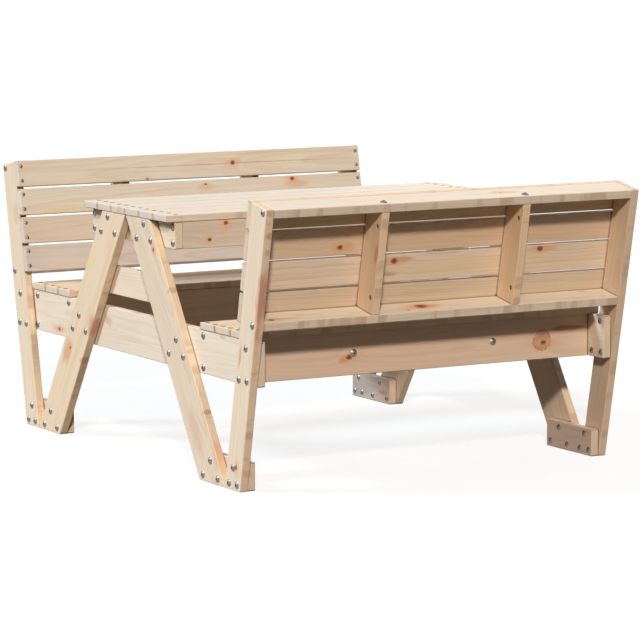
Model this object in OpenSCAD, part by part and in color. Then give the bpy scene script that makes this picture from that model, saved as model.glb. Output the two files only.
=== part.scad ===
// Children's picnic table: a slatted table and two slatted benches with sloped backs,
// carried by two end frames of flat boards that are bolted face to face.
// X runs along the benches, Y across them and Z up. The origin is on the floor,
// under the middle of the table. Each piece is drawn in the quarter where X and Y are
// positive and mirrored to the other quarters.

/* [Overall size] */
// Length over the outer faces of the two end frames
frame_l = 890; // [700:10:1100]
// Height of the tabletop above the floor
table_h = 532; // [480:2:600]
// Height of the seats above the floor
seat_h = 321.5; // [290:0.5:350]

/* [Boards] */
// Thickness of the boards in the frames, aprons, rails and stiles
frame_t = 18; // [17:0.5:22]
// Thickness of the table, seat and back boards
board_t = 14.5; // [12:0.5:18]
// Width of one table or seat board
board_w = 62; // [54:1:70]
// Gap between neighbouring table or seat boards
board_gap = 3; // [2:0.5:6]
// How far the table and seat boards reach past the faces under their ends
board_overhang = 2; // [0:0.5:4]
// Width of the eased edges on every board
ease = 1.2; // [0.5:0.1:2]

/* [End frames] */
// Lean of the table legs from upright, in degrees
leg_lean = 32.4; // [28:0.2:35]
// Width of a leg
leg_w = 92.5; // [84:0.5:100]
// Gap between the tops of the two legs of a frame
leg_top_gap = 1; // [0.5:0.5:10]
// Lean of the back posts from upright, in degrees
post_lean = 11; // [8:0.5:14]
// Width of a post
post_w = 62.5; // [56:0.5:70]
// Length of a post along its slope
post_l = 601; // [560:1:640]
// Height of a cross beam
beam_w = 91; // [84:1:100]
// Height of a foot plate
foot_w = 58.5; // [52:0.5:66]
// Height of the tie between the legs
tie_w = 61.5; // [50:0.5:70]
// Gap between a cross beam and the tie above it
tie_rise = 30; // [10:1:40]
// How far the tie's ends stay inside the legs' outer edges
tie_back = 25; // [20:1:40]
// Height of the aprons under the tabletop
apron_w = 57.5; // [52:0.5:64]
// How far the end aprons stay inside the edges of the tabletop
apron_inset = 1.5; // [0:0.5:10]
// How far beams and foot plates stay inside the slanted edges that they end at
end_inset = 1; // [0.5:0.5:3]

/* [Benches and backs] */
// Gap between the rear edge of a seat and the post, at the height of the seat
seat_gap = 6; // [4:0.5:14]
// How far the front seat rail stands back from the front edge of the seat
rail_inset = 3; // [0:0.5:10]
// Distance from the middle of the bench to a seat support and a back stile
stile_x = 169; // [120:1:220]
// Width of a back slat
slat_w = 59; // [54:0.5:62]
// Gap between neighbouring back slats
slat_gap = 5; // [3:0.5:8]

/* [Fasteners] */
// Diameter of the bolts
bolt_d = 6; // [5:0.5:7]
// Diameter of a bolt head
bolt_head_d = 16; // [13:0.5:17]
// Height of a domed bolt head
bolt_head_h = 3.6; // [3:0.1:4.5]
// Across flats of the hexagon socket in a bolt head
socket_w = 4; // [3:0.5:5]
// Distance from the edge of a board to the nearest row of bolts
bolt_edge = 12.5; // [11:0.5:14]
// Distance between the paired bolts in a leg
leg_pair = 64; // [50:1:68]
// Distance between the paired bolts in a post
post_pair = 33; // [30:1:36]
// Distance between the upper and lower bolts where a leg crosses a beam
beam_pair = 32; // [24:1:40]
// Distance from a post's inner edge to the bolts of the back rails
back_bolt_n = 49; // [40:1:50]
// Diameter of the head of a cap nut
cap_head_d = 14; // [12:0.5:14]
// Height of the domed head of a cap nut
cap_head_h = 3; // [2.8:0.1:4]
// Diameter of the sleeve of a cap nut, which sits in the board
sleeve_d = 9; // [8.5:0.5:10]
// Length of the sleeve of a cap nut
sleeve_l = 12; // [10:0.5:14]
// Diameter of a barrel nut
barrel_d = 10; // [9:0.5:11]
// Length of a barrel nut
barrel_l = 13; // [12:0.5:14]
// Distance from the end of a board to the barrel nut inside it
barrel_in = 33; // [28:1:40]
// Diameter of a wood screw
screw_d = 4; // [3.5:0.1:4.5]
// Diameter of a screw head
screw_head_d = 8.5; // [7.5:0.5:9]
// Height of a screw head
screw_head_h = 2.4; // [2:0.1:3]
// How far the screw heads lie below the surface of the table and seat boards
screw_sink = 0.8; // [0:0.2:1.6]
// Length below the head of the screws that hold the back slats
slat_screw_l = 32; // [26:1:34]
// Distance from the edge of a table board, seat board or tie to its screws
screw_edge = 15.5; // [12:0.5:20]
// Distance from the edge of a back slat to its screws
slat_screw_edge = 13; // [10:0.5:16]
// Clearance all round a fastener in its hole
fit_gap = 0.1; // [0.05:0.05:0.3]

/* [Hidden] */
TABLE_BOARDS = 6;
SEAT_BOARDS = 3;
SLATS = 4;
PINE = "burlywood";
STEEL = "silver";
// Screw point, socket depth, cross recess and the small sizes of the fasteners
screw_tip = 5;
screw_tip_d = 1;
socket_depth = 2;
cross_w = 1;
cross_span = 5;
cross_depth = 1.2;
pilot_past = 1;
head_clear = 0.4;
// From the tip of a through bolt to the inner face of its frame, and how far the other
// bolts reach past their barrel nuts
tip_gap = 2;
past_nut = 2;
// Wood left between a screw's tip and the hole or face that it points at
tip_wood = 1.5;
// A length longer than any board, for cutting tools
far = 3000;

// Planes across the length: outer face of legs and posts, of beams, and their inner face
x_out = frame_l / 2;
x_mid = x_out - frame_t;
x_in = x_mid - frame_t;

// Heights
table_under = table_h - board_t;
apron_z0 = table_under - apron_w;
seat_under = seat_h - board_t;
beam_z0 = seat_under - beam_w;
beam_mid = (beam_z0 + seat_under) / 2;
tie_z0 = seat_under + tie_rise;
tie_z1 = tie_z0 + tie_w;

// Slanted boards: the outer edge of a leg and the inner edge of a post start at foot_y
leg_foot_w = leg_w / cos(leg_lean);
post_foot_w = post_w / cos(post_lean);
foot_y = leg_top_gap / 2 + leg_foot_w + tan(leg_lean) * table_under;
function leg_out(z) = foot_y - tan(leg_lean) * z;
function leg_in(z) = leg_out(z) - leg_foot_w;
function leg_mid(z) = leg_out(z) - leg_foot_w / 2;
function post_in(z) = foot_y + tan(post_lean) * z;
function post_out(z) = post_in(z) + post_foot_w;
function post_mid(z) = post_in(z) + post_foot_w / 2;

// Backs, measured along the post from the floor and outwards from its inner edge
slat_pitch = slat_w + slat_gap;
back_u0 = post_l - SLATS * slat_pitch + slat_gap;
rail_low_u = back_u0 + frame_t / 2;
rail_top_u = post_l - frame_t / 2;
stile_u0 = back_u0 + frame_t;
stile_l = post_l - frame_t - stile_u0;

// Inner face of a back at height z: the posts', or the slats' from their lowest edge up
back_z0 = back_u0 * cos(post_lean);
function back_face(z) = post_in(z) - (z < back_z0 ? 0 : board_t / cos(post_lean));

// Table, seats and the ends of the boards across the frames
board_pitch = board_w + board_gap;
table_hw = (TABLE_BOARDS * board_pitch - board_gap) / 2;
apron_y = table_hw - apron_inset;
seat_y1 = back_face(seat_h) - seat_gap;
seat_y0 = seat_y1 - SEAT_BOARDS * board_pitch + board_gap;
beam_y = post_out(beam_z0) - end_inset;
plate_y0 = leg_in(0) + end_inset;
plate_y1 = post_out(0) - end_inset;
tie_y = leg_out(tie_z1) - tie_back;

// Seat rails: the rear one is clear of the back, and its bolt heads of the post
row_low = beam_z0 + bolt_edge;
row_high = seat_under - bolt_edge;
rail_front_y = seat_y0 + rail_inset + frame_t / 2;
rail_rear_y = min(
    post_in(row_low) - (bolt_head_d / 2 + head_clear) / cos(post_lean),
    back_face(seat_under) - head_clear - frame_t / 2
);
support_y0 = rail_front_y + frame_t / 2;
support_y1 = rail_rear_y - frame_t / 2;

// Bolts through the face of an end frame, as places in Y and Z
function triangle(y, pair, z_pair, z_one) =
    [[y - pair / 2, z_pair], [y + pair / 2, z_pair], [y, z_one]];
apron_row = apron_z0 + bolt_edge;
leg_apron = triangle(leg_mid(apron_row), leg_pair, apron_row, table_under - bolt_edge);
leg_row = beam_mid - beam_pair / 2;
leg_beam = triangle(leg_mid(leg_row), leg_pair, leg_row, leg_row + beam_pair);
leg_foot = triangle(leg_mid(bolt_edge), leg_pair, bolt_edge, foot_w - bolt_edge);
post_foot = triangle(post_mid(bolt_edge), post_pair, bolt_edge, foot_w - bolt_edge);
post_beam = [
    [post_mid(row_low) - post_pair / 2, row_low],
    [post_mid(row_low) + post_pair / 2, row_low],
    [post_mid(row_high), row_high]
];
rail_ends = [for (y = [rail_front_y, rail_rear_y], z = [row_low, row_high]) [y, z]];
apron_ends = [for (z = [apron_row, table_under - bolt_edge]) [apron_y - frame_t / 2, z]];
through_bolts = concat(leg_apron, leg_beam, leg_foot, post_foot, post_beam);

// Wood screws: those of the table and the seats end above the cap nuts, and those of the
// ties end inside the legs
board_screw_in = bolt_edge - sleeve_d / 2 - tip_wood;
board_screw_l = board_t - screw_sink - screw_head_h + board_screw_in;
tie_screw_l = 2 * frame_t - tip_wood;
board_screws = [screw_edge, board_w - screw_edge];
slat_screws = [slat_screw_edge, slat_w - slat_screw_edge];
table_rows = [for (i = [0:TABLE_BOARDS - 1], s = board_screws)
    -table_hw + i * board_pitch + s];
seat_rows = [for (i = [0:SEAT_BOARDS - 1], s = board_screws) seat_y0 + i * board_pitch + s];
slat_rows = [for (i = [0:SLATS - 1], s = slat_screws) back_u0 + i * slat_pitch + s];
tie_rows = [tie_z0 + screw_edge, tie_z1 - screw_edge];
tie_screw_y = (leg_in(tie_z0) + tie_y) / 2;
screw_x = x_mid - frame_t / 2;
slat_screw_x = x_out - frame_t / 2;

SIDES = [-1, 1];

// Moves a piece from the positive quarter to the quarter of sx and sy
module quarter(sx, sy) {
    mirror([sx < 0 ? 1 : 0, 0, 0]) mirror([0, sy < 0 ? 1 : 0, 0]) children();
}

// The frame of a back: Z runs up along the post's inner edge and Y outwards from it
module back_frame() {
    translate([0, foot_y, 0]) rotate([-post_lean, 0, 0]) children();
}

// Rectangle with eased corners
module eased(a, b) {
    polygon([
        [ease, 0], [a - ease, 0], [a, ease], [a, b - ease],
        [a - ease, b], [ease, b], [0, b - ease], [0, ease]
    ]);
}

// Board with every edge eased, from the origin to l along X, w along Y and t along Z
module board(l, w, t) {
    intersection() {
        rotate([90, 0, 90]) linear_extrude(l) eased(w, t);
        linear_extrude(t) eased(l, w);
        translate([0, w, 0]) rotate([90, 0, 0]) linear_extrude(w) eased(l, t);
    }
}

// Board on edge that runs along X, centred on X
module rail_board(l, h, t) {
    translate([-l / 2, t / 2, 0]) rotate([90, 0, 0]) board(l, h, t);
}

// Board on edge that runs along Y from y0 to y1, with its outer face at x1
module cross_board(y0, y1, h, x1) {
    translate([x1 - frame_t, y0, 0]) rotate([90, 0, 90]) board(y1 - y0, h, frame_t);
}

// Hole along X through both layers of an end frame
module frame_bore(place) {
    translate([x_in - frame_t, place[0], place[1]]) rotate([0, 90, 0])
        cylinder(d = bolt_d + 2 * fit_gap, h = 4 * frame_t, $fn = 32);
}

// The same hole with a wider stretch at the inner face for the sleeve of a cap nut
module nut_bore(place) {
    frame_bore(place);
    translate([x_in + sleeve_l + fit_gap, place[0], place[1]]) rotate([0, -90, 0])
        cylinder(d = sleeve_d + 2 * fit_gap, h = 2 * frame_t, $fn = 32);
}

// Holes for a bolt that enters the end of a board along +Z: the bolt's hole and the
// crosswise blind hole of its barrel nut, which is open on the side of +Y
module barrel_bores() {
    cylinder(d = bolt_d + 2 * fit_gap, h = barrel_in + barrel_d, $fn = 32);
    translate([0, -barrel_l / 2, barrel_in]) rotate([-90, 0, 0])
        cylinder(d = barrel_d + 2 * fit_gap, h = barrel_l / 2 + frame_t, $fn = 32);
}

// Pilot hole for a wood screw, down from a face at Z = 0
module pilot(depth) {
    translate([0, 0, -depth])
        cylinder(d = screw_d + 2 * fit_gap, h = depth + pilot_past, $fn = 24);
}

// Hole and counterbore for a screw whose head lies screw_sink below a face at Z = 0
module sunk_bore() {
    depth = screw_sink + screw_head_h;
    pilot(board_t + pilot_past);
    translate([0, 0, -depth])
        cylinder(d = screw_head_d + 2 * fit_gap, h = depth + pilot_past, $fn = 32);
}

// Domed head that stands on Z = 0
module dome(d, h) {
    radius = (d * d / 4 + h * h) / (2 * h);
    intersection() {
        translate([0, 0, h - radius]) sphere(r = radius, $fn = 48);
        cylinder(d = d, h = h, $fn = 48);
    }
}

// Domed head with a hexagon socket that stands on Z = 0
module socket_head(d, h) {
    difference() {
        dome(d, h);
        translate([0, 0, h - socket_depth])
            cylinder(d = socket_w / cos(30), h = h, $fn = 6);
    }
}

// Bolt of length l that points down from its head at Z = 0
module bolt(l) {
    socket_head(bolt_head_d, bolt_head_h);
    translate([0, 0, -l]) cylinder(d = bolt_d, h = l, $fn = 32);
}

// Cap nut with its head on Z = 0 and a sleeve below it that is open at its far end
module cap_nut() {
    socket_head(cap_head_d, cap_head_h);
    translate([0, 0, -sleeve_l]) difference() {
        cylinder(d = sleeve_d, h = sleeve_l, $fn = 32);
        translate([0, 0, -pilot_past])
            cylinder(d = bolt_d + 2 * fit_gap, h = sleeve_l + pilot_past, $fn = 32);
    }
}

// Barrel nut whose own axis is Y and whose bore is along Z
module barrel_nut() {
    difference() {
        rotate([90, 0, 0]) cylinder(d = barrel_d, h = barrel_l, center = true, $fn = 32);
        cylinder(d = bolt_d + 2 * fit_gap, h = 2 * barrel_d, center = true, $fn = 32);
    }
}

// Wood screw of length l that points down from the seat of its head at Z = 0
module wood_screw(l) {
    difference() {
        dome(screw_head_d, screw_head_h);
        for (a = [0, 90])
            rotate(a) translate([-cross_span / 2, -cross_w / 2, screw_head_h - cross_depth])
                cube([cross_span, cross_w, 2 * cross_depth]);
    }
    translate([0, 0, screw_tip - l]) cylinder(d = screw_d, h = l - screw_tip, $fn = 24);
    translate([0, 0, -l]) cylinder(d1 = screw_tip_d, d2 = screw_d, h = screw_tip, $fn = 24);
}

// Tabletop board i, counted from the front
module table_board(i) {
    y0 = -table_hw + i * board_pitch;
    color(PINE) difference() {
        translate([-x_out - board_overhang, y0, table_under])
            board(2 * (x_out + board_overhang), board_w, board_t);
        for (sx = SIDES, s = board_screws)
            translate([sx * screw_x, y0 + s, table_h]) sunk_bore();
    }
}

// Apron across an end frame, bolted to both legs and to the side aprons
module end_apron(sx) {
    color(PINE) quarter(sx, 1) difference() {
        translate([0, 0, apron_z0]) cross_board(-apron_y, apron_y, apron_w, x_mid);
        for (sy = SIDES) quarter(1, sy) {
            for (place = leg_apron) nut_bore(place);
            for (place = apron_ends) frame_bore(place);
        }
        for (y = table_rows) translate([screw_x, y, table_under]) pilot(board_screw_in);
    }
}

// Apron along the table, between the end aprons
module side_apron(sy) {
    color(PINE) quarter(1, sy) difference() {
        translate([0, apron_y - frame_t / 2, apron_z0]) rail_board(2 * x_in, apron_w, frame_t);
        for (sx = SIDES, place = apron_ends) quarter(sx, 1)
            translate([x_in, place[0], place[1]]) rotate([0, -90, 0])
                rotate(180) barrel_bores();
    }
}

// Slanted table leg, cut level at the floor and under the tabletop
module leg(sx, sy) {
    color(PINE) quarter(sx, sy) difference() {
        intersection() {
            translate([x_mid, foot_y, 0]) rotate([leg_lean, 0, 0])
                translate([0, -leg_w, -table_h]) rotate([90, -90, 90]) mirror([0, 1, 0])
                    board(3 * table_h, leg_w, frame_t);
            translate([0, -far / 2, 0]) cube([far, far, table_under]);
        }
        for (place = concat(leg_apron, leg_beam, leg_foot)) frame_bore(place);
        for (z = tie_rows)
            translate([x_in, tie_screw_y, z]) rotate([0, -90, 0]) pilot(tie_screw_l);
    }
}

// Post that carries the back, cut level at the floor and square at its top
module post(sx, sy) {
    color(PINE) quarter(sx, sy) difference() {
        intersection() {
            back_frame() translate([x_mid, 0, -post_w]) rotate([0, -90, 0]) mirror([0, 0, 1])
                board(post_l + post_w, post_w, frame_t);
            cube([far, far, far]);
        }
        for (place = concat(post_foot, post_beam)) frame_bore(place);
        back_frame() {
            for (u = [rail_low_u, rail_top_u]) frame_bore([back_bolt_n, u]);
            for (u = slat_rows)
                translate([slat_screw_x, 0, u]) rotate([90, 0, 0])
                    pilot(slat_screw_l - board_t);
        }
    }
}

// Beam across an end frame that carries both seats
module cross_beam(sx) {
    color(PINE) quarter(sx, 1) difference() {
        translate([0, 0, beam_z0]) cross_board(-beam_y, beam_y, beam_w, x_mid);
        for (sy = SIDES) quarter(1, sy) {
            for (place = concat(leg_beam, post_beam)) nut_bore(place);
            for (place = rail_ends) frame_bore(place);
            for (y = seat_rows) translate([screw_x, y, seat_under]) pilot(board_screw_in);
        }
    }
}

// Tie between the two legs, screwed to their inner faces
module leg_tie(sx) {
    color(PINE) quarter(sx, 1) difference() {
        translate([0, 0, tie_z0]) cross_board(-tie_y, tie_y, tie_w, x_mid);
        for (sy = SIDES, z = tie_rows) quarter(1, sy)
            translate([x_in, tie_screw_y, z]) rotate([0, -90, 0]) pilot(tie_screw_l);
    }
}

// Plate that joins the feet of a leg and a post
module foot_plate(sx, sy) {
    color(PINE) quarter(sx, sy) difference() {
        cross_board(plate_y0, plate_y1, foot_w, x_mid);
        for (place = concat(leg_foot, post_foot)) nut_bore(place);
    }
}

// Seat board i, counted from the table outwards
module seat_board(sy, i) {
    y0 = seat_y0 + i * board_pitch;
    color(PINE) quarter(1, sy) difference() {
        translate([-x_mid - board_overhang, y0, seat_under])
            board(2 * (x_mid + board_overhang), board_w, board_t);
        for (sx = SIDES, s = board_screws)
            translate([sx * screw_x, y0 + s, seat_h]) sunk_bore();
    }
}

// Rail under a seat, bolted between the two cross beams. side is 1 where the supports
// meet the rail's outward face and -1 where they meet its inward face
module seat_rail(sy, y, side) {
    color(PINE) quarter(1, sy) difference() {
        translate([0, y, beam_z0]) rail_board(2 * x_in, beam_w, frame_t);
        for (sx = SIDES, z = [row_low, row_high]) quarter(sx, 1)
            translate([x_in, y, z]) rotate([0, -90, 0]) rotate(side < 0 ? 180 : 0)
                barrel_bores();
        for (sx = SIDES)
            translate([sx * stile_x, y, beam_mid]) rotate([90, 0, 0])
                cylinder(d = bolt_d + 2 * fit_gap, h = 2 * frame_t, center = true, $fn = 32);
    }
}

// Board that carries the seat between its two rails
module seat_support(sx, sy) {
    color(PINE) quarter(sx, sy) difference() {
        translate([0, 0, beam_z0])
            cross_board(support_y0, support_y1, beam_w, stile_x + frame_t / 2);
        translate([stile_x, support_y0, beam_mid]) rotate([-90, 0, 0])
            rotate(90) barrel_bores();
        translate([stile_x, support_y1, beam_mid]) rotate([90, 0, 0])
            rotate(90) barrel_bores();
    }
}

// Back slat i, counted from the bottom
module back_slat(sy, i) {
    u0 = back_u0 + i * slat_pitch;
    color(PINE) quarter(1, sy) back_frame() difference() {
        translate([-x_out, 0, u0]) rotate([90, 0, 0]) board(frame_l, slat_w, board_t);
        for (sx = SIDES, s = slat_screws)
            translate([sx * slat_screw_x, -board_t, u0 + s]) rotate([90, 0, 0])
                pilot(2 * board_t);
    }
}

// Rail of a back, flat between the posts at height u along them
module back_rail(sy, u, stile_bores) {
    color(PINE) quarter(1, sy) back_frame() difference() {
        translate([-x_mid, 0, u - frame_t / 2]) board(2 * x_mid, post_w, frame_t);
        for (sx = SIDES) quarter(sx, 1) {
            translate([x_mid, back_bolt_n, u]) rotate([0, -90, 0]) rotate(90) barrel_bores();
            translate([stile_x, back_bolt_n, u])
                cylinder(d = bolt_d + 2 * fit_gap, h = 2 * frame_t, center = true, $fn = 32);
        }
    }
}

// Stile between the rails of a back, with a bolt into each end
module back_stile(sx, sy) {
    color(PINE) quarter(1, sy) back_frame() difference() {
        translate([sx * stile_x + frame_t / 2, 0, stile_u0]) rotate([0, -90, 0])
            board(stile_l, post_w, frame_t);
        translate([sx * stile_x, back_bolt_n, stile_u0]) rotate(90) barrel_bores();
        translate([sx * stile_x, back_bolt_n, stile_u0 + stile_l]) mirror([0, 0, 1])
            rotate(90) barrel_bores();
    }
}

// Places of every bolt that ends in a barrel nut. Each child is drawn with Z = 0 on the
// face under the bolt's head, pointing down, for a first board of thickness frame_t
module connector_places() {
    for (sx = SIDES, sy = SIDES) quarter(sx, sy) {
        for (place = rail_ends)
            translate([x_mid, place[0], place[1]]) rotate([0, 90, 0])
                rotate(place[0] == rail_front_y ? 0 : 180) children();
        for (place = apron_ends)
            translate([x_mid, place[0], place[1]]) rotate([0, 90, 0])
                rotate(180) children();
        translate([stile_x, rail_front_y - frame_t / 2, beam_mid]) rotate([90, 0, 0])
            rotate(90) children();
        translate([stile_x, rail_rear_y + frame_t / 2, beam_mid]) rotate([-90, 0, 0])
            rotate(90) children();
        back_frame() {
            for (u = [rail_low_u, rail_top_u])
                translate([x_out, back_bolt_n, u]) rotate([0, 90, 0]) rotate(90) children();
            translate([stile_x, back_bolt_n, post_l]) rotate(90) children();
            translate([stile_x, back_bolt_n, back_u0]) mirror([0, 0, 1])
                rotate(90) children();
        }
    }
}

// Every bolt: through both layers of an end frame into a cap nut, or into a barrel nut
module bolts() {
    color(STEEL) {
        for (sx = SIDES, sy = SIDES, place = through_bolts) quarter(sx, sy)
            translate([x_out, place[0], place[1]]) rotate([0, 90, 0])
                bolt(2 * frame_t - tip_gap);
        connector_places() bolt(frame_t + barrel_in + barrel_d / 2 + past_nut);
    }
}

// Cap nuts in the inner faces of the end frames
module cap_nuts() {
    color(STEEL)
        for (sx = SIDES, sy = SIDES, place = through_bolts) quarter(sx, sy)
            translate([x_in, place[0], place[1]]) rotate([0, -90, 0]) cap_nut();
}

// Barrel nuts in the ends of the rails, aprons, supports and stiles
module barrel_nuts() {
    color(STEEL) connector_places()
        translate([0, 0, -frame_t - barrel_in]) barrel_nut();
}

// Wood screws of the table, the seats, the slats and the ties
module wood_screws() {
    color(STEEL)
        for (sx = SIDES, sy = SIDES) quarter(sx, sy) {
            for (y = [for (row = table_rows) if (row > 0) row])
                translate([screw_x, y, table_h - screw_sink - screw_head_h])
                    wood_screw(board_screw_l);
            for (y = seat_rows)
                translate([screw_x, y, seat_h - screw_sink - screw_head_h])
                    wood_screw(board_screw_l);
            for (z = tie_rows)
                translate([x_in, tie_screw_y, z]) rotate([0, -90, 0]) wood_screw(tie_screw_l);
            back_frame() for (u = slat_rows)
                translate([slat_screw_x, -board_t, u]) rotate([90, 0, 0])
                    wood_screw(slat_screw_l);
        }
}

table_board(0);  // table_board_1
table_board(1);  // table_board_2
table_board(2);  // table_board_3
table_board(3);  // table_board_4
table_board(4);  // table_board_5
table_board(5);  // table_board_6
end_apron(-1);  // end_apron_left
end_apron(1);  // end_apron_right
side_apron(-1);  // side_apron_front
side_apron(1);  // side_apron_rear
leg(-1, -1);  // leg_left_front
leg(-1, 1);  // leg_left_rear
leg(1, -1);  // leg_right_front
leg(1, 1);  // leg_right_rear
post(-1, -1);  // post_left_front
post(-1, 1);  // post_left_rear
post(1, -1);  // post_right_front
post(1, 1);  // post_right_rear
cross_beam(-1);  // cross_beam_left
cross_beam(1);  // cross_beam_right
leg_tie(-1);  // leg_tie_left
leg_tie(1);  // leg_tie_right
foot_plate(-1, -1);  // foot_plate_left_front
foot_plate(-1, 1);  // foot_plate_left_rear
foot_plate(1, -1);  // foot_plate_right_front
foot_plate(1, 1);  // foot_plate_right_rear
seat_board(-1, 0);  // seat_board_front_1
seat_board(-1, 1);  // seat_board_front_2
seat_board(-1, 2);  // seat_board_front_3
seat_board(1, 0);  // seat_board_rear_1
seat_board(1, 1);  // seat_board_rear_2
seat_board(1, 2);  // seat_board_rear_3
seat_rail(-1, rail_front_y, 1);  // seat_rail_front_inner
seat_rail(-1, rail_rear_y, -1);  // seat_rail_front_outer
seat_rail(1, rail_front_y, 1);  // seat_rail_rear_inner
seat_rail(1, rail_rear_y, -1);  // seat_rail_rear_outer
seat_support(-1, -1);  // seat_support_front_left
seat_support(1, -1);  // seat_support_front_right
seat_support(-1, 1);  // seat_support_rear_left
seat_support(1, 1);  // seat_support_rear_right
back_slat(-1, 0);  // back_slat_front_1
back_slat(-1, 1);  // back_slat_front_2
back_slat(-1, 2);  // back_slat_front_3
back_slat(-1, 3);  // back_slat_front_4
back_slat(1, 0);  // back_slat_rear_1
back_slat(1, 1);  // back_slat_rear_2
back_slat(1, 2);  // back_slat_rear_3
back_slat(1, 3);  // back_slat_rear_4
back_rail(-1, rail_top_u);  // back_top_rail_front
back_rail(1, rail_top_u);  // back_top_rail_rear
back_rail(-1, rail_low_u);  // back_bottom_rail_front
back_rail(1, rail_low_u);  // back_bottom_rail_rear
back_stile(-1, -1);  // back_stile_front_left
back_stile(1, -1);  // back_stile_front_right
back_stile(-1, 1);  // back_stile_rear_left
back_stile(1, 1);  // back_stile_rear_right
bolts();
cap_nuts();
barrel_nuts();
wood_screws();
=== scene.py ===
"""Looks of the children's picnic table: pine boards, plated fasteners, floor, light, camera."""
import math
import random

import bpy
from mathutils import Matrix, Vector

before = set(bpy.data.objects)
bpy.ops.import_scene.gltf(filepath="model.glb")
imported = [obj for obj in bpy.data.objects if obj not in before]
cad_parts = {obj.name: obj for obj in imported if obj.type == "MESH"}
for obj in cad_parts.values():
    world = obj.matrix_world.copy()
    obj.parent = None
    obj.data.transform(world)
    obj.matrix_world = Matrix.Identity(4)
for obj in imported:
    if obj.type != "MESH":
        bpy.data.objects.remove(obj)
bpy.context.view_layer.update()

# Angles of the slanted boards from upright
LEG_LEAN = math.radians(32.4)
POST_LEAN = math.radians(11)

# Camera: angle, distance and lens of the photograph
CAMERA_AZIMUTH = math.radians(-30)
CAMERA_ELEVATION = math.radians(7.43)
CAMERA_DISTANCE = 7.503
CAMERA_TARGET = Vector((0.0141, -0.0284, 0.2660))
CAMERA_LENS = 193.3
SENSOR_WIDTH = 36

# Colours of pine and of its painted shade, and of painted shade and dust on steel, linear
EARLY_WOOD = (0.79, 0.675, 0.52)
LATE_WOOD = (0.66, 0.49, 0.33)
STRAW_WOOD = (0.78, 0.64, 0.42)
PINK_WOOD = (0.76, 0.60, 0.47)
BAND_WOOD = (0.50, 0.36, 0.25)
RING_WOOD = (0.43, 0.25, 0.18)
PAINTED_SHADE_WOOD = (0.16, 0.085, 0.045)
STREAK_WOOD = (0.56, 0.34, 0.21)
END_WOOD = (0.66, 0.57, 0.45)
KNOT_HEART = (0.13, 0.045, 0.025)
KNOT_RIM = (0.46, 0.155, 0.06)
KNOT_GLOW = (0.75, 0.43, 0.24)
STEEL_SHADE_AND_DUST = (0.035, 0.028, 0.022)
STAINS_OF = {"red": (0.52, 0.17, 0.085), "orange": (0.70, 0.42, 0.23),
             "brown": (0.48, 0.33, 0.21), "straw": (0.78, 0.64, 0.36),
             "pink": (0.64, 0.39, 0.27)}

# Noises of the wood: waves to the metre along and across the grain
STREAK_WAVES = (5, 120)
FIBRE_WAVES = (60, 1500)
SPECK_WAVES = (160, 160)

# Growth rings: range of their width, place of the pith and how much it slants, in metres
RING_WIDTHS = (0.0045, 0.0075)
PITH_ACROSS = 0.035
PITH_DEPTHS = (0.012, 0.05)
PITH_SLANT_ACROSS = 0.03
PITH_SLANT_DEPTH = 0.045
LONG_WAVE = 0.024
SHORT_WAVE = 0.0036

# Strewn knots: cells to the metre along and across, smallest radius and spread, in metres
CELLS_ALONG = 6
CELLS_ACROSS = 11
SMALLEST_KNOT = 0.0014
KNOT_SPREAD = 0.0042
EMPTY_CELLS = 0.70

# How strongly the rings show, and how much more they show on the near slats
RING_STRENGTHS = (0.32, 0.62)
NEAR_SLAT_MORE = 0.22

# How near another face has to be for painted shade to gather, in metres
WOOD_CREVICE = 0.007
STEEL_CREVICE = 0.004

# Seeds of the boards' random draws
SEED_STEP = 7
SEED_START = 3

# Lights from far away: where they come from, strength, colour and angular size
KEY = ((-0.42, -0.74, 0.55), 2.62, (1.0, 0.87, 0.76), 5)
SIDE = ((-0.72, 0.36, 0.60), 3.05, (0.71, 0.83, 0.96), 14)
FILL = ((0.72, 0.68, 0.07), 1.35, (1.0, 0.90, 0.80), 30)
SKY = (0.235, 0.200, 0.175)
GROUND = (0.078, 0.044, 0.027)

LAMP_DISTANCE = 4

# Heights of the sky's Generated Z between which the ground turns into the sky
HORIZON = (-0.2, 0.7)

# Floor: half its width, how far it lies below the feet, what the camera sees of it, and
# what it throws back at the object
FLOOR_REACH = 40
FLOOR_DROP = 0.0005
FLOOR_GLOW = 0.84
FLOOR_SEEN = (0.20, 0.20, 0.20)
FLOOR_BOUNCE = (0.08, 0.060, 0.045)


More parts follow.
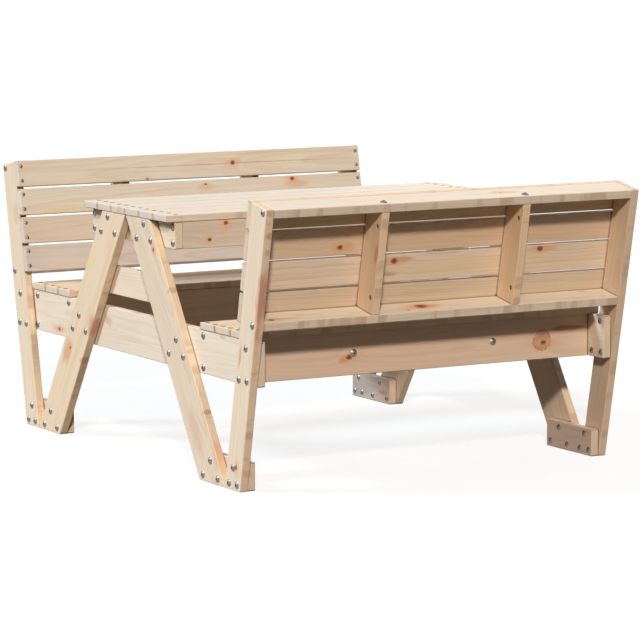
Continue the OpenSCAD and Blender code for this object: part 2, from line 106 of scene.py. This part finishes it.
class Graph:
    """Short calls for the nodes of one material. Inputs are sockets or plain values."""

    def __init__(self, name):
        self.material = bpy.data.materials.new(name)
        self.material.use_nodes = True
        self.nodes = self.material.node_tree.nodes
        self.links = self.material.node_tree.links
        self.nodes.clear()
        self.output = self.nodes.new("ShaderNodeOutputMaterial")

    def feed(self, socket, value):
        """Links a socket to an input, or sets the input's own value."""
        if isinstance(value, bpy.types.NodeSocket):
            self.links.new(value, socket)
        elif socket.type == "RGBA" and len(value) == 3:
            socket.default_value = (*value, 1)
        else:
            socket.default_value = value

    def math(self, operation, *values, clamp=False):
        node = self.nodes.new("ShaderNodeMath")
        node.operation = operation
        node.use_clamp = clamp
        for socket, value in zip(node.inputs, values):
            self.feed(socket, value)
        return node.outputs[0]

    def vector(self, operation, *values):
        node = self.nodes.new("ShaderNodeVectorMath")
        node.operation = operation
        for socket, value in zip(node.inputs, values):
            self.feed(socket, value)
        return node.outputs["Value" if operation in ("LENGTH", "DOT_PRODUCT") else "Vector"]

    def combine(self, x, y, z):
        node = self.nodes.new("ShaderNodeCombineXYZ")
        for socket, value in zip(node.inputs, (x, y, z)):
            self.feed(socket, value)
        return node.outputs[0]

    def separate(self, vector):
        node = self.nodes.new("ShaderNodeSeparateXYZ")
        self.feed(node.inputs[0], vector)
        return node.outputs[0], node.outputs[1], node.outputs[2]

    def noise(self, vector, scale=1.0, detail=2.0, roughness=0.5):
        node = self.nodes.new("ShaderNodeTexNoise")
        self.feed(node.inputs["Vector"], vector)
        node.inputs["Scale"].default_value = scale
        node.inputs["Detail"].default_value = detail
        node.inputs["Roughness"].default_value = roughness
        return node.outputs["Fac"]

    def fade(self, value, start, end):
        """0 up to start, 1 from end on, smooth between them."""
        node = self.nodes.new("ShaderNodeMapRange")
        node.interpolation_type = "SMOOTHSTEP"
        self.feed(node.inputs["Value"], value)
        node.inputs["From Min"].default_value = start
        node.inputs["From Max"].default_value = end
        return node.outputs["Result"]

    def ramp(self, value, stops):
        node = self.nodes.new("ShaderNodeValToRGB")
        elements = node.color_ramp.elements
        while len(elements) < len(stops):
            elements.new(0.5)
        for element, (place, level) in zip(elements, stops):
            element.position = place
            element.color = (level, level, level, 1)
        self.feed(node.inputs["Fac"], value)
        return node.outputs["Color"]

    def mix(self, factor, a, b, blend="MIX"):
        node = self.nodes.new("ShaderNodeMix")
        node.data_type = "RGBA"
        node.blend_type = blend
        self.feed(node.inputs["Factor"], factor)
        self.feed(node.inputs[6], a)
        self.feed(node.inputs[7], b)
        return node.outputs[2]

    def bump(self, height, strength, distance):
        node = self.nodes.new("ShaderNodeBump")
        node.inputs["Strength"].default_value = strength
        node.inputs["Distance"].default_value = distance
        self.feed(node.inputs["Height"], height)
        return node.outputs["Normal"]

    def shader(self, kind, **values):
        node = self.nodes.new(kind)
        for name, value in values.items():
            self.feed(node.inputs[name.replace("_", " ")], value)
        return node.outputs[0]

    def finish(self, shader):
        self.links.new(shader, self.output.inputs["Surface"])
        return self.material


class Board:
    """Place and size of a board: its long axis, its wide axis and its thin axis."""

    def __init__(self, obj, along, across):
        thin = along.cross(across)
        self.axes = Matrix((along, across, thin))
        places = [self.axes @ v.co for v in obj.data.vertices]
        low = Vector(min(p[i] for p in places) for i in range(3))
        high = Vector(max(p[i] for p in places) for i in range(3))
        self.middle = (low + high) / 2
        self.half = (high - low) / 2


def slanted(lean, side):
    """Axis that rises in the YZ plane and leans towards side times +Y."""
    return Vector((0, side * math.sin(lean), math.cos(lean)))


def board_axes(name):
    """Long and wide axes of a board by its name."""
    side = -1 if "front" in name else 1
    x_axis, y_axis, z_axis = Vector((1, 0, 0)), Vector((0, 1, 0)), Vector((0, 0, 1))
    if name.startswith(("leg_left", "leg_right")):
        along = slanted(LEG_LEAN, -side)
        return along, x_axis.cross(along)
    if name.startswith("post"):
        along = slanted(POST_LEAN, side)
        return along, x_axis.cross(along)
    if name.startswith("back_slat"):
        return x_axis, slanted(POST_LEAN, side)
    if name.startswith(("back_top", "back_bottom")):
        return x_axis, x_axis.cross(slanted(POST_LEAN, side))
    if name.startswith("back_stile"):
        along = slanted(POST_LEAN, side)
        return along, x_axis.cross(along)
    if name.startswith(("table_board", "seat_board")):
        return x_axis, y_axis
    if name.startswith(("side_apron", "seat_rail")):
        return x_axis, z_axis
    return y_axis, z_axis


# Knots: places along and across a board from its middle, and radius, in mm
KNOTS = {
    "back_slat_rear_4": ((104, 2, 5.5), (-121, -26, 2.6)),
    "back_slat_rear_3": ((258, 22, 5.0), (28, 19, 2.4)),
    "side_apron_front": ((-307, 21, 4.6), (-346, -12, 4.0)),
    "cross_beam_left": ((363, -31, 4.5),),
    "leg_left_front": ((214, 28, 4.0),),
    "leg_left_rear": ((-77, -14, 3.5),),
    "post_left_front": ((-244, 6, 4.6),),
    "back_slat_front_3": ((-231, -12, 5.5),),
    "back_slat_front_2": ((-99, 16, 6.5), (256, 22, 6.5)),
    "back_bottom_rail_front": ((-401, 15, 6.0), (-42, -1, 12.0), (-82, 16, 2.4)),
    "back_top_rail_front": ((122, -4, 2.6),),
    "seat_rail_front_outer": ((-180, -8, 6.0), (296, -10, 6.0)),
}

# Rings of bark round large knots: along, across and radius, in mm
BARK_RINGS = {"seat_rail_front_outer": ((292, -6, 21),)}

# Stains: along, across, through the board, half length, half width, colour and strength
STAINS = {
    "back_slat_rear_3": ((268, 10, 7, 40, 12, "orange", 0.55), (28, 12, 7, 30, 12, "orange", 0.4),
                         (-340, -22, 7, 120, 8, "straw", 0.6)),
    "back_slat_rear_4": ((104, 1, 7, 420, 1.6, "pink", 0.9),),
    "side_apron_front": ((-312, 10, 9, 14, 16, "orange", 0.5),),
    "post_left_rear": ((186, 15, -9, 30, 16, "brown", 0.35),),
    "leg_left_rear": ((145, -30, -9, 46, 18, "straw", 0.8), (-84, -18, -9, 26, 16, "red", 0.55),
                      (-94, -22, -9, 44, 20, "orange", 1.0),
                      (30, 46, -2, 40, 20, "red", 0.65), (-68, 46, -3, 16, 14, "red", 0.6)),
    "leg_left_front": ((214, 28, -9, 34, 9, "orange", 0.7), (-189, -9, -9, 70, 22, "pink", 0.45),
                       (-268, 46, -1, 50, 18, "orange", 0.6), (-168, 46, 0, 7, 16, "brown", 1.0),
                       (111, 46, 0, 9, 16, "brown", 0.7)),
    "post_left_front": ((-14, -20, -9, 30, 6, "red", 0.55), (48, 31, -4, 12, 8, "orange", 0.9),
                        (117, 31, 0, 68, 16, "red", 0.7), (247, 31, 4, 10, 9, "brown", 0.7),
                        (214, 31, 4, 8, 9, "brown", 0.6), (-244, 6, -9, 16, 3, "red", 0.8)),
    "cross_beam_left": ((363, -30, -9, 44, 12, "orange", 0.6), (121, 16, -9, 24, 14, "pink", 0.7),
                        (-399, 40, -9, 14, 6, "brown", 0.4)),
    "table_board_4": ((-447, -8, 3, 10, 16, "orange", 0.9),),
    "foot_plate_left_front": ((-86, 4, -2, 10, 7, "orange", 0.7),),
    "back_bottom_rail_front": ((-385, 13, -9, 60, 7, "orange", 0.7),
                               (-34, -1, -9, 40, 11, "red", 0.7),
                               (368, -21, -9, 16, 4, "brown", 0.6),
                               (396, 17, -9, 12, 4, "brown", 0.6)),
    "back_slat_front_3": ((-216, -12, 7, 26, 12, "orange", 0.6),),
    "back_slat_front_2": ((-80, 18, 7, 40, 8, "red", 0.5), (-110, -12, 7, 26, 5, "brown", 0.7),
                          (272, 22, 7, 34, 9, "orange", 0.7), (74, -4, 7, 180, 10, "straw", 0.45)),
    "back_stile_front_left": ((17, 24, -9, 26, 8, "red", 0.7),),
    "back_top_rail_front": ((128, -6, -9, 34, 12, "orange", 0.7),
                            (150, -2, -9, 30, 7, "orange", 0.5)),
    "seat_rail_front_outer": ((-190, -12, 9, 18, 10, "red", 0.6), (357, 16, 9, 60, 8, "red", 0.75),
                              (300, -10, 9, 60, 22, "orange", 0.35)),
    "foot_plate_right_rear": ((-53, -5, -9, 26, 6, "red", 0.7),),
}

# Boards that show a clear face in the photograph, so that no other knots are strewn on them
CLEAR = ("table_board", "side_apron_front", "leg_left", "post_left", "cross_beam_left",
         "leg_tie_left", "foot_plate", "seat_board", "seat_rail_front_outer", "back_slat",
         "back_top_rail", "back_bottom_rail", "back_stile_front", "end_apron_left",
         "leg_right_front", "post_right_front")

# Tints of boards, by the start of their names. Those of side_apron, seat_rail_rear, seat_support,
# back_slat_front_1 and back_slat_rear_1 were fitted where these boards lie partly in shade, so
# they also hold painted shade.
TINTS_AND_PAINTED_SHADE = {
    "table_board": (0.91, 0.975, 1.08), "back_top_rail": (0.98, 1.03, 1.13),
    "back_bottom_rail": (1.0, 1.07, 1.16), "post_left": (1.03, 1.01, 0.98),
    "leg_left_rear": (1.03, 0.98, 0.90), "leg_left_front": (1.0, 0.965, 0.93),
    "cross_beam": (1.02, 1.04, 1.06), "leg_tie": (1.05, 1.03, 1.02),
    "back_slat_rear_4": (0.97, 1.08, 1.24), "back_slat_rear_3": (0.98, 1.10, 1.26),
    "back_slat_rear_2": (0.91, 0.94, 1.02),
    "back_slat_rear_1": (0.84, 0.91, 1.12), "side_apron": (0.81, 0.86, 0.94),
    "back_slat_front_4": (1.0, 0.94, 0.89), "back_slat_front_3": (0.94, 0.87, 0.82),
    "back_slat_front_2": (1.01, 1.02, 1.07), "back_slat_front_1": (0.83, 0.84, 0.85),
    "back_stile": (1.12, 1.03, 0.94), "seat_rail_front": (0.95, 0.89, 0.92),
    "seat_rail_rear": (0.92, 0.87, 0.86), "seat_support": (0.92, 0.88, 0.85),
    "foot_plate": (0.97, 0.94, 1.02), "post_right": (0.93, 0.89, 0.89),
    "seat_board_rear": (0.95, 0.91, 0.88), "seat_board_front": (0.95, 0.91, 0.88),
}

# Boards whose wide faces are darker than their edges: partly a tone of the wood, partly painted
# shade
TONED_AND_SHADED_FACES = {"back_stile": 0.35, "foot_plate": 0.20}

# Sunk screws of the table and seat boards, round whose heads shade is painted: from the middle
# along and across, in metres
SCREW_ALONG = 0.418
SCREW_ACROSS = 0.0155


class Pine:
    """Pine cut from a log: rings round a pith beside the board, knots, stains and fibres."""

    def __init__(self, name, board, seed):
        self.rng = random.Random(seed)
        self.name, self.board = name, board
        self.g = g = Graph("pine_" + name)
        mapping = g.nodes.new("ShaderNodeMapping")
        mapping.inputs["Rotation"].default_value = board.axes.to_euler()
        mapping.inputs["Location"].default_value = -board.middle
        coordinates = g.nodes.new("ShaderNodeTexCoord")
        g.feed(mapping.inputs["Vector"], coordinates.outputs["Object"])
        self.normal = coordinates.outputs["Normal"]
        self.place = mapping.outputs[0]
        self.x, self.y, self.z = g.separate(self.place)
        self.shift = Vector(self.rng.uniform(-50, 50) for _ in range(3))
        self.own = g.vector("ADD", self.place, self.shift)
        self.streak = self.noise(*STREAK_WAVES, detail=3, roughness=0.6)
        self.fibre = self.noise(*FIBRE_WAVES, detail=3, roughness=0.7)
        self.speck = self.noise(*SPECK_WAVES, detail=2)
        # Painted shade: darker where another face comes near, read from ambient occlusion
        hidden = g.nodes.new("ShaderNodeAmbientOcclusion")
        hidden.inputs["Distance"].default_value = WOOD_CREVICE
        self.crevice_shade = g.fade(hidden.outputs["AO"], 0.80, 0.35)

    def noise(self, along, across, detail=2, roughness=0.5):
        """Noise with so many waves to the metre along and across the grain."""
        scaled = self.g.vector("MULTIPLY", self.own, (along, across, across))
        return self.g.noise(scaled, detail=detail, roughness=roughness)

    def facing(self, axis):
        """1 on the faces that look along an axis of the board."""
        g = self.g
        turned = g.vector("DOT_PRODUCT", self.normal, tuple(self.board.axes[axis]))
        return g.fade(g.math("ABSOLUTE", turned), 0.6, 0.9)

    def blend(self, colour, factor, strength, other):
        return self.g.mix(self.g.math("MULTIPLY", factor, strength, clamp=True), colour, other)

    def offset(self, along, across):
        """Distance from a place in the board's plane, as a vector in metres."""
        return self.g.vector("SUBTRACT", self.g.combine(self.x, self.y, 0),
                             (along / 1000, across / 1000, 0))

    def strewn(self):
        """Offset and radius of the nearest of the knots that are strewn by cells."""
        g = self.g
        cells = g.nodes.new("ShaderNodeTexVoronoi")
        cells.voronoi_dimensions = "2D"
        flat = g.combine(self.x, self.y, 0)
        spread = g.vector("MULTIPLY", flat, (CELLS_ALONG, CELLS_ACROSS, 0))
        spread = g.vector("ADD", spread, self.shift)
        g.feed(cells.inputs["Vector"], spread)
        cells.inputs["Scale"].default_value = 1
        offset = g.vector("SUBTRACT", spread, cells.outputs["Position"])
        chance, size, _ = g.separate(cells.outputs["Color"])
        size = g.math("MULTIPLY_ADD", size, KNOT_SPREAD, SMALLEST_KNOT)
        size = g.math("MULTIPLY", size, g.fade(chance, EMPTY_CELLS, EMPTY_CELLS + 0.02))
        radius = g.math("MAXIMUM", size, 0.00005)
        return g.vector("MULTIPLY", offset, (1 / CELLS_ALONG, 1 / CELLS_ACROSS, 0)), radius

    def knots(self):
        """Masks of every knot: dark heart, rim, glow along the grain, and push on the rings."""
        g = self.g
        found = [(self.offset(along, across), radius / 1000)
                 for along, across, radius in KNOTS.get(self.name, ())]
        if not self.name.startswith(CLEAR):
            found.append(self.strewn())
        masks = [0.0, 0.0, 0.0, 0.0]
        for offset, radius in found:
            near = g.vector("LENGTH", g.vector("MULTIPLY", offset, (0.8, 1, 0)))
            near = g.math("DIVIDE", near, radius)
            near = g.math("ADD", near, g.math("MULTIPLY_ADD", self.speck, 0.9, -0.45))
            wide = g.vector("LENGTH", g.vector("MULTIPLY", offset, (0.38, 0.9, 0)))
            wide = g.math("DIVIDE", wide, radius)
            wide = g.math("ADD", wide, g.math("MULTIPLY_ADD", self.streak, 1.6, -0.8))
            bend = g.math("EXPONENT", g.math("MULTIPLY", g.math("POWER", near, 1.6), -0.16))
            bend = g.math("MULTIPLY", bend, g.math("MULTIPLY", radius, 1.5))
            new = (g.fade(near, 0.75, 0.40), g.fade(near, 1.15, 0.85), g.fade(wide, 2.2, 0.6),
                   bend)
            masks = [g.math("MAXIMUM", old, mask) for old, mask in zip(masks, new)]
        return masks

    def rings(self, push):
        """Growth rings as lines of late wood, bent by waves and by the knots."""
        g, rng = self.g, self.rng
        pith_y = rng.uniform(-PITH_ACROSS, PITH_ACROSS)
        pith_z = rng.choice((-1, 1)) * rng.uniform(*PITH_DEPTHS)
        slope_y = rng.uniform(-PITH_SLANT_ACROSS, PITH_SLANT_ACROSS)
        slope_z = rng.uniform(-PITH_SLANT_DEPTH, PITH_SLANT_DEPTH)
        ring_y = g.math("SUBTRACT", self.y, g.math("MULTIPLY_ADD", self.x, slope_y, pith_y))
        ring_z = g.math("SUBTRACT", self.z, g.math("MULTIPLY_ADD", self.x, slope_z, pith_z))
        pith = g.vector("LENGTH", g.combine(0, ring_y, ring_z))
        pith = g.math("MULTIPLY_ADD", self.noise(2.2, 9), LONG_WAVE, pith)
        pith = g.math("MULTIPLY_ADD", self.noise(12, 40, detail=2), SHORT_WAVE, pith)
        pith = g.math("ADD", pith, push)
        year = g.noise(g.combine(g.math("MULTIPLY", pith, 120), self.shift.x, 0), detail=1)
        ring = g.math("MULTIPLY_ADD", pith, 1 / rng.uniform(*RING_WIDTHS),
                      g.math("MULTIPLY", year, 1.8))
        line = g.ramp(g.math("FRACT", ring), (
            (0.0, 0.05), (0.35, 0.0), (0.76, 0.5), (0.90, 1.0), (0.965, 0.7), (1.0, 0.05)))
        return g.math("MULTIPLY", line, g.math("MULTIPLY_ADD", self.noise(4, 30), 1.5, 0.1,
                                               clamp=True))

    def colours(self, line):
        """Early and late wood with patches, fine streaks and the tint of the whole board, which on
        some boards also holds painted shade.
        """
        g, rng = self.g, self.rng
        straw, pink = rng.uniform(0.1, 0.7), rng.uniform(0.1, 0.7)
        colour = self.blend(EARLY_WOOD, g.fade(self.noise(3.5, 22), 0.48, 0.70), straw,
                            STRAW_WOOD)
        colour = self.blend(colour, g.fade(self.noise(5, 26, detail=3), 0.50, 0.72), pink,
                            PINK_WOOD)
        figure = rng.uniform(*RING_STRENGTHS)
        if self.name.startswith("back_slat_front"):
            figure += NEAR_SLAT_MORE
        colour = self.blend(colour, line, figure, LATE_WOOD)
        broad = g.fade(self.noise(2.4, 62, detail=3, roughness=0.6), 0.54, 0.74)
        colour = self.blend(colour, broad, rng.uniform(0.25, 0.6), LATE_WOOD)
        thin = g.fade(self.noise(3, 420, detail=1), 0.70, 0.76)
        colour = self.blend(colour, thin, 0.35, STREAK_WOOD)
        shade = g.math("MULTIPLY_ADD", self.streak, 0.16, 0.92)
        shade = g.math("MULTIPLY", shade, g.math("MULTIPLY_ADD", self.fibre, 0.12, 0.94))
        colour = g.mix(1.0, colour, g.combine(shade, shade, shade), "MULTIPLY")
        # Some of these tints also hold painted shade
        tint = next((tint for start, tint in TINTS_AND_PAINTED_SHADE.items() if self.name.startswith(start)),
                    (1.0, 1.0, 1.0))
        warm = rng.uniform(0.985, 1.015)
        tint = (tint[0] * warm, tint[1], tint[2] / warm)
        return g.mix(1.0, colour, tint, "MULTIPLY")

    def stains(self, colour):
        """Coloured wood round knots and resin, each at its place in the board."""
        g = self.g
        for along, across, thin, length, width, kind, strength in STAINS.get(self.name, ()):
            away = g.vector("SUBTRACT", self.place, (along / 1000, across / 1000, thin / 1000))
            away = g.vector("MULTIPLY", away, (1000 / length, 1000 / width, 1000 / width))
            away = g.math("ADD", g.vector("LENGTH", away),
                          g.math("MULTIPLY_ADD", self.noise(30, 120, detail=3), 1.2, -0.6))
            colour = self.blend(colour, g.fade(away, 1.1, 0.35), strength, STAINS_OF[kind])
        return colour

    def bark_rings(self, colour):
        """Large pinkish brown knots inside a thin, broken ring of bark."""
        g = self.g
        for along, across, radius in BARK_RINGS.get(self.name, ()):
            away = g.vector("LENGTH", self.offset(along, across))
            away = g.math("MULTIPLY_ADD", away, 1000 / radius,
                          g.math("MULTIPLY_ADD", self.streak, 0.5, -0.25))
            colour = self.blend(colour, g.fade(away, 1.15, 0.7), 0.80, RING_WOOD)
            inner = g.math("FRACT", g.math("MULTIPLY", away, 4.0))
            inner = g.math("MULTIPLY", g.fade(inner, 0.5, 0.9), g.fade(away, 1.0, 0.9))
            colour = self.blend(colour, inner, 0.30, KNOT_RIM)
            ring = g.math("ABSOLUTE", g.math("SUBTRACT", away, 1.0))
            broken = g.math("MULTIPLY", g.fade(ring, 0.16, 0.03), g.fade(self.speck, 0.30, 0.60))
            colour = self.blend(colour, broken, 0.95, KNOT_RIM)
        return colour

    def edges(self, colour):
        """Short bands on the narrow edges, darker end grain, worn corners, and painted shade: in
        the gaps between boards, on some wide faces, round sunk screws and in crevices.
        """
        g = self.g
        band = g.math("MULTIPLY", g.fade(self.noise(26, 5, detail=3), 0.50, 0.62),
                      self.facing(1))
        colour = self.blend(colour, band, 0.55, BAND_WOOD)
        colour = self.blend(colour, self.facing(0), 0.5, END_WOOD)
        out_y = g.math("SUBTRACT", g.math("ABSOLUTE", self.y), self.board.half.y)
        out_z = g.math("SUBTRACT", g.math("ABSOLUTE", self.z), self.board.half.z)
        corner = g.fade(g.math("MINIMUM", out_y, out_z), -0.0030, -0.0004)
        colour = self.blend(colour, corner, 0.20, LATE_WOOD)
        # Painted shade in the gaps between boards, at the edges of their end faces
        gap_shade = g.math("MULTIPLY", g.fade(out_y, -0.0034, -0.0014), self.facing(0))
        colour = self.blend(colour, gap_shade, 0.75, PAINTED_SHADE_WOOD)
        # Wide faces darkened, partly as painted shade
        for start, strength in TONED_AND_SHADED_FACES.items():
            if self.name.startswith(start):
                colour = self.blend(colour, self.facing(2), strength, BAND_WOOD)
        # Painted shade round the sunk screw heads, standing in for the shadow in their
        # countersinks
        if self.name.startswith(("table_board", "seat_board")):
            away = g.vector("LENGTH", g.combine(
                g.math("SUBTRACT", g.math("ABSOLUTE", self.x), SCREW_ALONG),
                g.math("SUBTRACT", g.math("ABSOLUTE", self.y), SCREW_ACROSS), 0))
            colour = self.blend(colour, g.fade(away, 0.0072, 0.0048), 0.92, PAINTED_SHADE_WOOD)
        # Painted shade in crevices and where boards meet, weaker on the table boards
        depth = 0.35 if self.name.startswith("table_board") else 0.85
        return self.blend(colour, self.crevice_shade, depth, PAINTED_SHADE_WOOD)

    def material(self):
        g = self.g
        heart, rim, glow, push = self.knots()
        line = self.rings(push)
        colour = self.stains(self.colours(line))
        colour = self.bark_rings(colour)
        colour = self.blend(colour, glow, 0.62, KNOT_GLOW)
        colour = self.blend(colour, rim, 0.92, KNOT_RIM)
        colour = self.blend(colour, heart, 0.90, KNOT_HEART)
        colour = self.edges(colour)
        rough = g.math("MULTIPLY_ADD", self.fibre, 0.16, 0.50)
        rough = g.math("MULTIPLY_ADD", rim, -0.12, rough)
        rough = g.math("MULTIPLY_ADD", self.facing(0), 0.2, rough)
        relief = g.math("MULTIPLY_ADD", self.fibre, 0.9, g.math("MULTIPLY", line, 0.5))
        relief = g.math("MULTIPLY_ADD", rim, 1.2, relief)
        surface = g.shader("ShaderNodeBsdfPrincipled", Base_Color=colour, Roughness=rough,
                           Normal=g.bump(relief, 0.35, 0.0004))
        surface.node.inputs["Specular IOR Level"].default_value = 0.3
        return g.finish(surface)


def plated_steel(name, tint, roughness, spots, dust=0.0):
    """Zinc plating with cloudy patches and fine scratches, with painted shade in sockets and
    darker under dust.
    """
    g = Graph(name)
    place = g.nodes.new("ShaderNodeTexCoord").outputs["Object"]
    cloud = g.noise(place, scale=220, detail=3)
    scratch = g.noise(g.vector("MULTIPLY", place, (900, 900, 5200)), detail=2, roughness=0.7)
    dull = tuple(channel * 0.7 for channel in tint)
    colour = g.mix(g.math("MULTIPLY", g.fade(cloud, 0.42, 0.70), spots), tint, dull)
    # Painted shade: darker in sockets and where the steel meets another face, read from ambient
    # occlusion
    hidden = g.nodes.new("ShaderNodeAmbientOcclusion")
    hidden.inputs["Distance"].default_value = STEEL_CREVICE
    open_share = g.fade(hidden.outputs["AO"], 0.35, 0.95)
    colour = g.mix(open_share, STEEL_SHADE_AND_DUST, colour)
    _, _, upward = g.separate(g.nodes.new("ShaderNodeNewGeometry").outputs["True Normal"])
    colour = g.mix(g.math("MULTIPLY", g.fade(upward, 0.6, 0.95), dust), colour, STEEL_SHADE_AND_DUST)
    rough = g.math("MULTIPLY_ADD", cloud, 0.18, roughness - 0.09)
    rough = g.math("MULTIPLY_ADD", scratch, 0.10, rough)
    surface = g.shader("ShaderNodeBsdfPrincipled", Base_Color=colour, Roughness=rough,
                       Normal=g.bump(scratch, 0.10, 0.0001))
    surface.node.inputs["Metallic"].default_value = 1
    return g.finish(surface)


def dress(obj, material):
    """Gives every material slot of a CAD node one material."""
    if not obj.material_slots:
        obj.data.materials.append(material)
    for material_slot in obj.material_slots:
        material_slot.material = material


def make_floor():
    """Pale floor that reads as white, keeps soft shadows and throws little light back."""
    mesh = bpy.data.meshes.new("floor")
    corners = [(x * FLOOR_REACH, y * FLOOR_REACH, 0)
               for x, y in ((-1, -1), (1, -1), (1, 1), (-1, 1))]
    mesh.from_pydata(corners, [], [(0, 1, 2, 3)])
    floor = bpy.data.objects.new("floor", mesh)
    floor.location.z = -FLOOR_DROP
    bpy.context.scene.collection.objects.link(floor)
    g = Graph("pale_floor")
    path = g.nodes.new("ShaderNodeLightPath")
    seen = g.math("MAXIMUM", path.outputs["Is Camera Ray"], path.outputs["Is Glossy Ray"])
    seen = g.math("MAXIMUM", seen, path.outputs["Is Transmission Ray"])
    colour = g.mix(seen, FLOOR_BOUNCE, FLOOR_SEEN)
    matt = g.shader("ShaderNodeBsdfDiffuse", Color=colour)
    glow = g.shader("ShaderNodeEmission", Color=(1, 1, 1),
                    Strength=g.math("MULTIPLY", seen, FLOOR_GLOW))
    both = g.nodes.new("ShaderNodeAddShader")
    g.links.new(matt, both.inputs[0])
    g.links.new(glow, both.inputs[1])
    dress(floor, g.finish(both.outputs[0]))


def make_sun(name, source, strength, colour, size):
    """Soft light from far away in the direction of source."""
    data = bpy.data.lights.new(name, "SUN")
    data.energy = strength
    data.color = colour
    data.angle = math.radians(size)
    lamp = bpy.data.objects.new(name, data)
    lamp.location = Vector(source) * LAMP_DISTANCE
    lamp.rotation_mode = "QUATERNION"
    lamp.rotation_quaternion = (-Vector(source)).to_track_quat("-Z", "Y")
    bpy.context.scene.collection.objects.link(lamp)


def mixed(nodes, links, factor, a, b):
    """Mix of two colours or sockets in the world's nodes."""
    node = nodes.new("ShaderNodeMix")
    node.data_type = "RGBA"
    links.new(factor, node.inputs["Factor"])
    for socket, value in zip((node.inputs[6], node.inputs[7]), (a, b)):
        if isinstance(value, bpy.types.NodeSocket):
            links.new(value, socket)
        else:
            socket.default_value = (*value, 1)
    return node.outputs[2]


def make_world():
    """Pale sky and dim warm ground that show as white to the camera and in reflections."""
    world = bpy.data.worlds.new("studio")
    world.use_nodes = True
    nodes, links = world.node_tree.nodes, world.node_tree.links
    nodes.clear()
    path = nodes.new("ShaderNodeLightPath")
    seen = path.outputs["Is Camera Ray"]
    for ray in ("Is Glossy Ray", "Is Transmission Ray"):
        either = nodes.new("ShaderNodeMath")
        either.operation = "MAXIMUM"
        links.new(seen, either.inputs[0])
        links.new(path.outputs[ray], either.inputs[1])
        seen = either.outputs[0]
    height = nodes.new("ShaderNodeSeparateXYZ")
    links.new(nodes.new("ShaderNodeTexCoord").outputs["Generated"], height.inputs[0])
    rise = nodes.new("ShaderNodeMapRange")
    links.new(height.outputs["Z"], rise.inputs["Value"])
    rise.inputs["From Min"].default_value, rise.inputs["From Max"].default_value = HORIZON
    around = mixed(nodes, links, rise.outputs["Result"], GROUND, SKY)
    colour = mixed(nodes, links, seen, around, (1, 1, 1))
    background = nodes.new("ShaderNodeBackground")
    links.new(colour, background.inputs["Color"])
    output = nodes.new("ShaderNodeOutputWorld")
    links.new(background.outputs[0], output.inputs["Surface"])
    bpy.context.scene.world = world


def make_camera():
    """Camera at the photograph's angle."""
    data = bpy.data.cameras.new("camera")
    data.sensor_width = SENSOR_WIDTH
    data.lens = CAMERA_LENS
    data.clip_start, data.clip_end = 0.1, 200
    camera = bpy.data.objects.new("camera", data)
    back = Vector((math.sin(CAMERA_AZIMUTH) * math.cos(CAMERA_ELEVATION),
                   -math.cos(CAMERA_AZIMUTH) * math.cos(CAMERA_ELEVATION),
                   math.sin(CAMERA_ELEVATION)))
    camera.location = CAMERA_TARGET + back * CAMERA_DISTANCE
    camera.rotation_mode = "QUATERNION"
    camera.rotation_quaternion = (-back).to_track_quat("-Z", "Y")
    bpy.context.scene.collection.objects.link(camera)
    bpy.context.scene.camera = camera


STEEL = {
    "bolts": plated_steel("bolt_steel", (0.225, 0.21, 0.19), 0.36, 0.6),
    "cap_nuts": plated_steel("cap_nut_steel", (0.225, 0.21, 0.19), 0.36, 0.5),
    "barrel_nuts": plated_steel("barrel_nut_steel", (0.32, 0.30, 0.27), 0.42, 0.8),
    "wood_screws": plated_steel("screw_steel", (0.27, 0.25, 0.23), 0.38, 0.8, dust=0.9),
}

for number, (name, obj) in enumerate(sorted(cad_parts.items())):
    if name in STEEL:
        dress(obj, STEEL[name])
    else:
        board = Board(obj, *board_axes(name))
        dress(obj, Pine(name, board, seed=number * SEED_STEP + SEED_START).material())

make_camera()
make_floor()
make_world()
make_sun("key", *KEY)
make_sun("side", *SIDE)
make_sun("fill", *FILL)

scene = bpy.context.scene
scene.view_settings.view_transform = "Standard"
